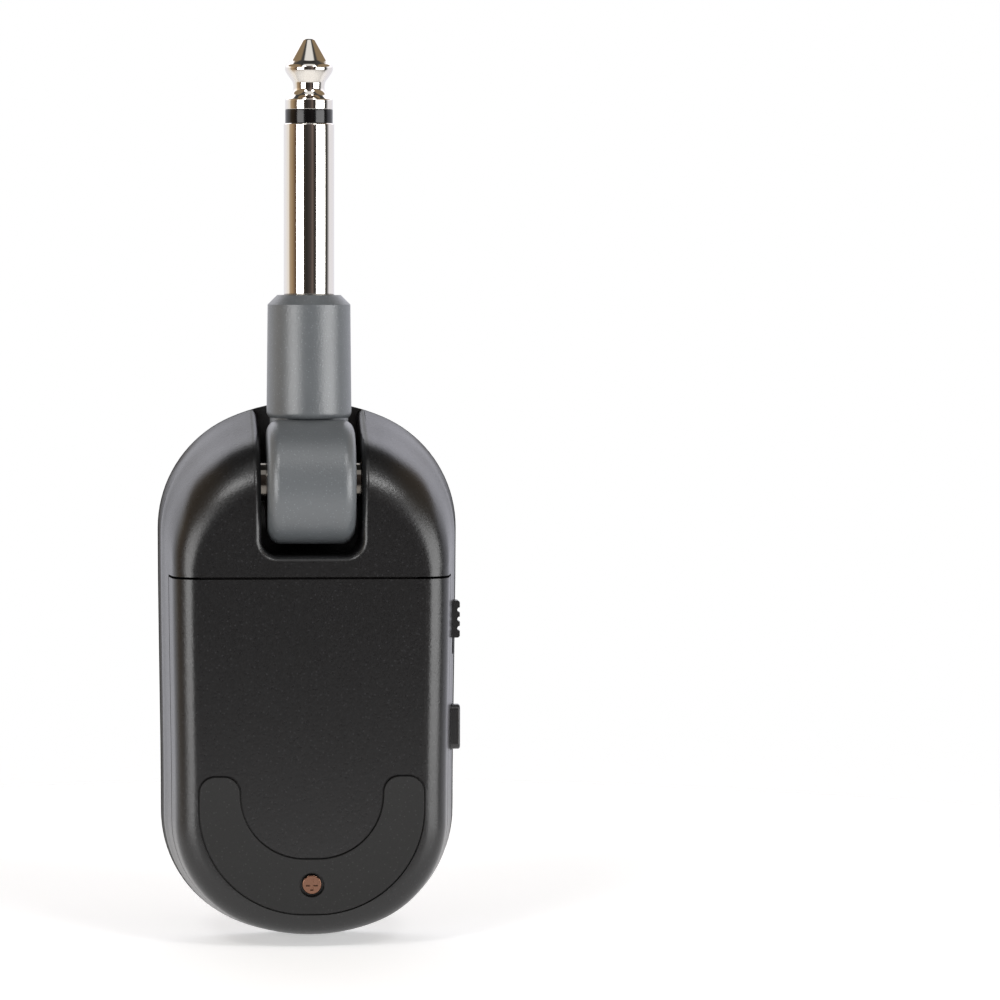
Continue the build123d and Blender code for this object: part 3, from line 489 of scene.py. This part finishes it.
class FinishControls(bpy.types.Operator):
    """Finish the slide knob, the button and the light pipe"""

    bl_idname = "transmitter.controls"
    bl_label = "Controls"

    def execute(self, context):
        finishes = context.scene.transmitter_finishes
        # Moulded acetal: smoother than the shells, so its ribs catch crisp lines of light
        acetal = grained_plastic(
            "moulded_black_acetal", finishes.control_colour, 0.2 * MM, 0.008 * MM, 0.24, 0.05,
            0.4, ior=1.6,
        )
        finish(acetal, "slide_knob", "pair_button")
        # Frosted polycarbonate: milky, with a soft inner glow
        frosted, tree, shader, place = new_material(
            "frosted_polycarbonate", IOR=1.58, **{"Transmission Weight": 0.55}
        )
        cloud = node(tree, "ShaderNodeTexNoise", {"Vector": place, "Scale": 1 / (0.3 * MM)})
        milk = node(
            tree, "ShaderNodeValToRGB", {"Fac": cloud.outputs["Fac"]},
            [(0.3, "#c9cfd0"), (0.7, "#e6eaea")],
        )
        haze = node(
            tree, "ShaderNodeMapRange",
            {"Value": cloud.outputs["Fac"], "To Min": 0.3, "To Max": 0.45},
        )
        feed(tree, shader, Base_Color=milk.outputs[0], Roughness=haze.outputs[0])
        finish(frosted, "light_pipe")
        return {"FINISHED"}


class FinishHinge(bpy.types.Operator):
    """Finish the hinge pin and the hardware around it"""

    bl_idname = "transmitter.hinge"
    bl_label = "Hinge"

    def execute(self, context):
        # Turned and nickelled steel: bright lines along the pin in the gaps beside the knuckle
        steel = plated_metal(
            "nickelled_turned_steel", "#77726c", 0.04, 0.12, 0.004 * MM, (0.08, 1.0, 1.0)
        )
        finish(steel, "hinge_pin")
        # Blued spring steel: dark with a cold sheen
        spring = plated_metal(
            "blued_spring_steel", "#6b6f78", 0.22, 0.36, 0.004 * MM, ALL_WAYS
        )
        finish(spring, "retaining_clip", "wave_washer")
        # Sintered bronze: porous and matt, brown-gold
        bronze = plated_metal(
            "sintered_bronze", "#a5824e", 0.35, 0.55, 0.02 * MM, ALL_WAYS
        )
        finish(bronze, "hinge_bushes")
        return {"FINISHED"}


class FinishElectronics(bpy.types.Operator):
    """Finish the board, its parts and the charging socket"""

    bl_idname = "transmitter.electronics"
    bl_label = "Electronics"

    def execute(self, context):
        # Solder-masked laminate: green gloss over a faint mesh of copper tracks
        laminate, tree, shader, place = new_material("solder_masked_laminate", IOR=1.52)
        turned_flat = node(
            tree, "ShaderNodeMapping", {"Vector": place, "Rotation": (math.pi / 2, 0, 0)}
        )
        tracks = node(
            tree,
            "ShaderNodeTexBrick",
            {
                "Vector": turned_flat.outputs[0],
                "Scale": 1 / (4 * MM),
                "Mortar Size": 0.04,
                "Color1": linear("#0f4a2c"),
                "Color2": linear("#0c4127"),
                "Mortar": linear("#1d6a3e"),
            },
        )
        gloss = node(
            tree, "ShaderNodeMapRange",
            {"Value": tracks.outputs["Fac"], "To Min": 0.22, "To Max": 0.32},
        )
        relief = node(
            tree, "ShaderNodeBump",
            {"Height": tracks.outputs["Fac"], "Strength": 0.4, "Distance": 0.03 * MM},
        )
        feed(
            tree, shader, Base_Color=tracks.outputs["Color"], Roughness=gloss.outputs[0],
            Normal=relief.outputs[0],
        )
        finish(laminate, "main_board")
        # Tinned steel sheet: bright and slightly cloudy
        tinned = plated_metal("tinned_steel", "#c4c6c6", 0.2, 0.38, 0.01 * MM, ALL_WAYS)
        finish(tinned, "rf_shield", "tip_tag", "ground_tag")
        # Drawn stainless steel: fine lines along the socket
        stainless = plated_metal("drawn_stainless", "#bdbbb7", 0.16, 0.3, 0.004 * MM)
        finish(stainless, "usb_c_socket")
        # Moulded epoxy: matt black with a sandy grain
        epoxy = grained_plastic(
            "moulded_epoxy", "#19191b", 0.1 * MM, 0.01 * MM, 0.55, 0.08, 0.3, ior=1.55
        )
        finish(epoxy, "radio_chip", "audio_chip", "charge_chip")
        # Fired ceramic: pale and waxy
        ceramic = grained_plastic(
            "fired_ceramic", "#d9d4c8", 0.12 * MM, 0.004 * MM, 0.3, 0.05, 0.1, ior=1.7
        )
        finish(ceramic, "antenna")
        # Clear resin over phosphor: milky yellow
        resin = grained_plastic(
            "phosphor_resin", "#e7e0b4", 0.15 * MM, 0.002 * MM, 0.2, 0.05, 0.1, ior=1.5
        )
        finish(resin, "status_led")
        # Glass-filled nylon: black switch bodies and a cream connector
        switch = grained_plastic(
            "glass_filled_nylon", "#232324", 0.16 * MM, 0.01 * MM, 0.48, 0.06, 0.5, ior=1.53
        )
        finish(switch, "power_switch", "pair_switch", "power_switch_lever", "pair_switch_plunger")
        return {"FINISHED"}


class FinishBattery(bpy.types.Operator):
    """Finish the battery, its connector and the wires"""

    bl_idname = "transmitter.battery"
    bl_label = "Battery and wires"

    def execute(self, context):
        # Aluminium pouch film: soft silver with slow creases
        pouch = plated_metal("pouch_film", "#c9cbcd", 0.28, 0.42, 0.08 * MM, ALL_WAYS)
        finish(pouch, "battery_cell")
        # Acrylic foam: matt and pale
        foam = grained_plastic(
            "acrylic_foam_tape", "#b9b6ae", 0.25 * MM, 0.04 * MM, 0.85, 0.05, 0.2, ior=1.47
        )
        finish(foam, "battery_tape")
        nylon = grained_plastic(
            "natural_nylon", "#d8d3c4", 0.2 * MM, 0.01 * MM, 0.42, 0.05, 0.15, ior=1.53
        )
        finish(nylon, "battery_socket")
        # Silicone wire sleeve: satin red-brown
        sleeving = grained_plastic(
            "silicone_wire_sleeve", "#7d1f1c", 0.2 * MM, 0.006 * MM, 0.4, 0.06, 0.2, ior=1.42
        )
        finish(sleeving, "plug_wires", "hinge_wires", "battery_leads")
        return {"FINISHED"}


# ---------------------------------------------------------------- stage
class MakeStage(bpy.types.Operator):
    """Make the pale floor, the studio around it, the softboxes and the camera"""

    bl_idname = "transmitter.stage"
    bl_label = "Stage"

    # Round the object, as parts of a turn: behind it at 0 and 1, the left wall at 0.25, the
    # camera's side at 0.5 and the right wall at 0.75
    ROOM = [
        (0.0, 0.5),
        (0.03, "#f2f2fa"),
        (0.13, "#f6f6fc"),
        (0.2, "#f2ece4"),
        (0.215, "#b9a690"),
        (0.26, "#a58c6c"),
        (0.305, "#6d5a4a"),
        (0.46, "#2e2d2b"),
        (0.515, "#4b4442"),
        (0.54, "#6e615c"),
        (0.56, "#3a3635"),
        (0.7, "#262626"),
        (0.75, "#4e4d4b"),
        (0.79, "#f2f2fa"),
        (0.97, "#f0f0fa"),
        (1.0, 0.5),
    ]
    # Overhead, from the camera's side at 0 to the wall behind the object at 1
    CEILING = [
        (0.14, 0.03),
        (0.17, 0.45),
        (0.36, 0.45),
        (0.40, 0.02),
        (0.76, 0.03),
        (0.82, 0.85),
        (1.0, 1.0),
    ]
    DIM = (0.03, 0.03, 0.03, 1.0)
    CORNER = "#6b5d4a"
    LAMP_DISTANCE = 0.8
    # name, shape, degrees right of the camera, rise, width, height
    LAMPS = (
        ("softbox_left", "RECTANGLE", -45, -0.04, 0.48, 0.6),
        ("softbox_right", "RECTANGLE", 54, -0.04, 0.66, 0.6),
        ("round_box_left", "DISK", -29, 0.84, 0.2, 0.2),
        ("round_box_right", "DISK", 29, 0.84, 0.2, 0.2),
    )

    def execute(self, context):
        stage = context.scene.transmitter_stage
        self.make_floor(context, stage)
        self.make_studio(context)
        self.make_softboxes(context, stage)
        camera = bpy.data.cameras.new("camera")
        camera.lens = stage.lens
        camera.sensor_width = 36.0
        camera.clip_start = 0.01
        camera.clip_end = 20.0
        stand = bpy.data.objects.new("camera", camera)
        stand.location = stage.camera_place
        stand.rotation_euler = stage.camera_turn
        context.scene.collection.objects.link(stand)
        context.scene.camera = stand
        return {"FINISHED"}

    def make_floor(self, context, stage):
        """A pale matt disc under the foot that fades into the white around it."""
        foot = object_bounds()[0].z
        shape = bmesh.new()
        bmesh.ops.create_circle(
            shape, cap_ends=True, segments=96, radius=stage.floor_reach,
            matrix=Matrix.Translation((0, 0, foot)),
        )
        mesh = bpy.data.meshes.new("floor")
        shape.to_mesh(mesh)
        shape.free()
        floor = bpy.data.objects.new("floor", mesh)
        context.scene.collection.objects.link(floor)
        # Painted board: even and white, without a mirror image, and a little lit from below
        # so that it nearly meets the white around it
        material, tree, shader, place = new_material(
            "white_painted_board",
            **{
                "IOR": 1.45,
                "Roughness": 0.9,
                "Emission Color": (1.0, 1.0, 1.0, 1.0),
                "Emission Strength": 0.42,
            },
        )
        speckle = node(tree, "ShaderNodeTexNoise", {"Vector": place, "Scale": 1 / (1.5 * MM)})
        paint = node(
            tree, "ShaderNodeValToRGB", {"Fac": speckle.outputs["Fac"]},
            [(0.3, "#f2f2f2"), (0.7, "#f5f5f5")],
        )
        feed(tree, shader, Base_Color=paint.outputs[0])
        outward = node(tree, "ShaderNodeVectorMath", {0: place}, operation="LENGTH")
        fade = node(
            tree,
            "ShaderNodeMapRange",
            {
                "Value": outward.outputs["Value"],
                "From Min": stage.floor_solid * stage.floor_reach,
                "From Max": stage.floor_clear * stage.floor_reach,
                "To Min": 1.0,
                "To Max": 0.0,
            },
            interpolation_type="SMOOTHERSTEP",
        )
        feed(tree, shader, Alpha=fade.outputs[0])
        mesh.materials.append(material)
        floor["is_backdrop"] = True

    def make_studio(self, context):
        """White all round as the eye sees it. What the object mirrors is a studio with a
        white wall behind it, a bright panel high over the camera, dark upper corners, and a
        dim room where the camera stands."""
        world = bpy.data.worlds.new("studio")
        context.scene.world = world
        world.use_nodes = True
        tree = world.node_tree
        tree.nodes.clear()
        way = node(tree, "ShaderNodeTexCoord").outputs["Generated"]
        across, along, up = node(tree, "ShaderNodeSeparateXYZ", {0: way}).outputs
        toward = node(tree, "ShaderNodeMath", {0: along, 1: -1.0}, operation="MULTIPLY")
        angle = node(
            tree, "ShaderNodeMath", {0: across, 1: toward.outputs[0]}, operation="ARCTAN2"
        )
        around = node(
            tree,
            "ShaderNodeMapRange",
            {"Value": angle.outputs[0], "From Min": -math.pi, "From Max": math.pi},
        )
        room = node(tree, "ShaderNodeValToRGB", {"Fac": around.outputs[0]}, self.ROOM)
        forward = node(
            tree, "ShaderNodeMapRange", {"Value": along, "From Min": -1.0, "From Max": 1.0}
        )
        ceiling = node(tree, "ShaderNodeValToRGB", {"Fac": forward.outputs[0]}, self.CEILING)
        height = node(tree, "ShaderNodeMath", {0: up}, operation="ABSOLUTE")
        sideways = node(tree, "ShaderNodeMath", {0: across}, operation="ABSOLUTE")
        # each runs from 0 to 1 over a narrow band of directions, which gives a soft edge
        overhead, beside, wide, high = (
            node(
                tree,
                "ShaderNodeMapRange",
                {"Value": measure, "From Min": start, "From Max": end},
            ).outputs[0]
            for measure, start, end in (
                (height.outputs[0], 0.66, 0.72),
                (sideways.outputs[0], 0.3, 0.4),
                (sideways.outputs[0], 0.5, 0.6),
                (up, 0.33, 0.42),
            )
        )
        corner = node(tree, "ShaderNodeMath", {0: wide, 1: high}, operation="MULTIPLY")
        above = node(
            tree,
            "ShaderNodeMix",
            {0: beside, 6: ceiling.outputs[0], 7: self.DIM},
            data_type="RGBA",
        )
        lit = node(
            tree,
            "ShaderNodeMix",
            {0: overhead, 6: room.outputs[0], 7: above.outputs[2]},
            data_type="RGBA",
        )
        cornered = node(
            tree,
            "ShaderNodeMix",
            {0: corner.outputs[0], 6: lit.outputs[2], 7: linear(self.CORNER)},
            data_type="RGBA",
        )
        # the room grows brighter upward
        lift = node(
            tree,
            "ShaderNodeMapRange",
            {"Value": up, "From Min": 0.1, "From Max": 0.45, "To Min": 1.0, "To Max": 1.9},
        )
        seen = node(tree, "ShaderNodeLightPath").outputs["Is Camera Ray"]
        studio = node(
            tree,
            "ShaderNodeBackground",
            {"Color": cornered.outputs[2], "Strength": lift.outputs[0]},
        )
        white = node(tree, "ShaderNodeBackground", {"Color": (1.0, 1.0, 1.0, 1.0)})
        mixed = node(
            tree, "ShaderNodeMixShader", {0: seen, 1: studio.outputs[0], 2: white.outputs[0]}
        )
        node(tree, "ShaderNodeOutputWorld", {"Surface": mixed.outputs[0]})

    def make_softboxes(self, context, stage):
        """Two tall softboxes beside the camera, and a small round one high over each."""
        middle = Vector((0, 0, -0.02))
        strengths = {"RECTANGLE": stage.softbox_strength, "DISK": stage.round_box_strength}
        for name, shape, turn, rise, width, height in self.LAMPS:
            light = bpy.data.lights.new(name, "AREA")
            light.shape = shape
            light.size = width
            light.size_y = height
            light.energy = strengths[shape] * width * height
            lamp = bpy.data.objects.new(name, light)
            away = Vector((math.sin(math.radians(turn)), -math.cos(math.radians(turn)), rise))
            lamp.location = middle + away.normalized() * self.LAMP_DISTANCE
            lamp.rotation_euler = away.to_track_quat("Z", "Y").to_euler()
            context.scene.collection.objects.link(lamp)


class TRANSMITTER_PT_pieces(bpy.types.Panel):
    """Lists the settings and the operators"""

    bl_label = "Transmitter"
    bl_space_type = "VIEW_3D"
    bl_region_type = "UI"
    bl_category = "Transmitter"

    def draw(self, context):
        for group in ("finishes", "plug", "stage"):
            settings = getattr(context.scene, f"transmitter_{group}")
            box = self.layout.box()
            for name in settings.__annotations__:
                box.prop(settings, name)
        for operator in OPERATORS:
            self.layout.operator(operator.bl_idname)


GROUPS = {
    "transmitter_finishes": TransmitterFinishes,
    "transmitter_plug": TransmitterPlug,
    "transmitter_stage": TransmitterStage,
}
OPERATORS = (
    FinishPlug,
    FinishArm,
    FinishHousing,
    FinishPad,
    FinishControls,
    FinishHinge,
    FinishElectronics,
    FinishBattery,
    MakeStage,
)


def register():
    """Register the settings, the operators and the panel."""
    for name, group in GROUPS.items():
        bpy.utils.register_class(group)
        setattr(bpy.types.Scene, name, bpy.props.PointerProperty(type=group))
    for operator in OPERATORS:
        bpy.utils.register_class(operator)
    bpy.utils.register_class(TRANSMITTER_PT_pieces)


def unregister():
    """Take back what register() added."""
    bpy.utils.unregister_class(TRANSMITTER_PT_pieces)
    for operator in reversed(OPERATORS):
        bpy.utils.unregister_class(operator)
    for name, group in GROUPS.items():
        delattr(bpy.types.Scene, name)
        bpy.utils.unregister_class(group)


def main():
    """Finish every piece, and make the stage."""
    register()
    bpy.context.scene.view_settings.view_transform = "Standard"
    for operator in OPERATORS:
        group, name = operator.bl_idname.split(".")
        getattr(getattr(bpy.ops, group), name)()


if __name__ == "__main__":
    main()
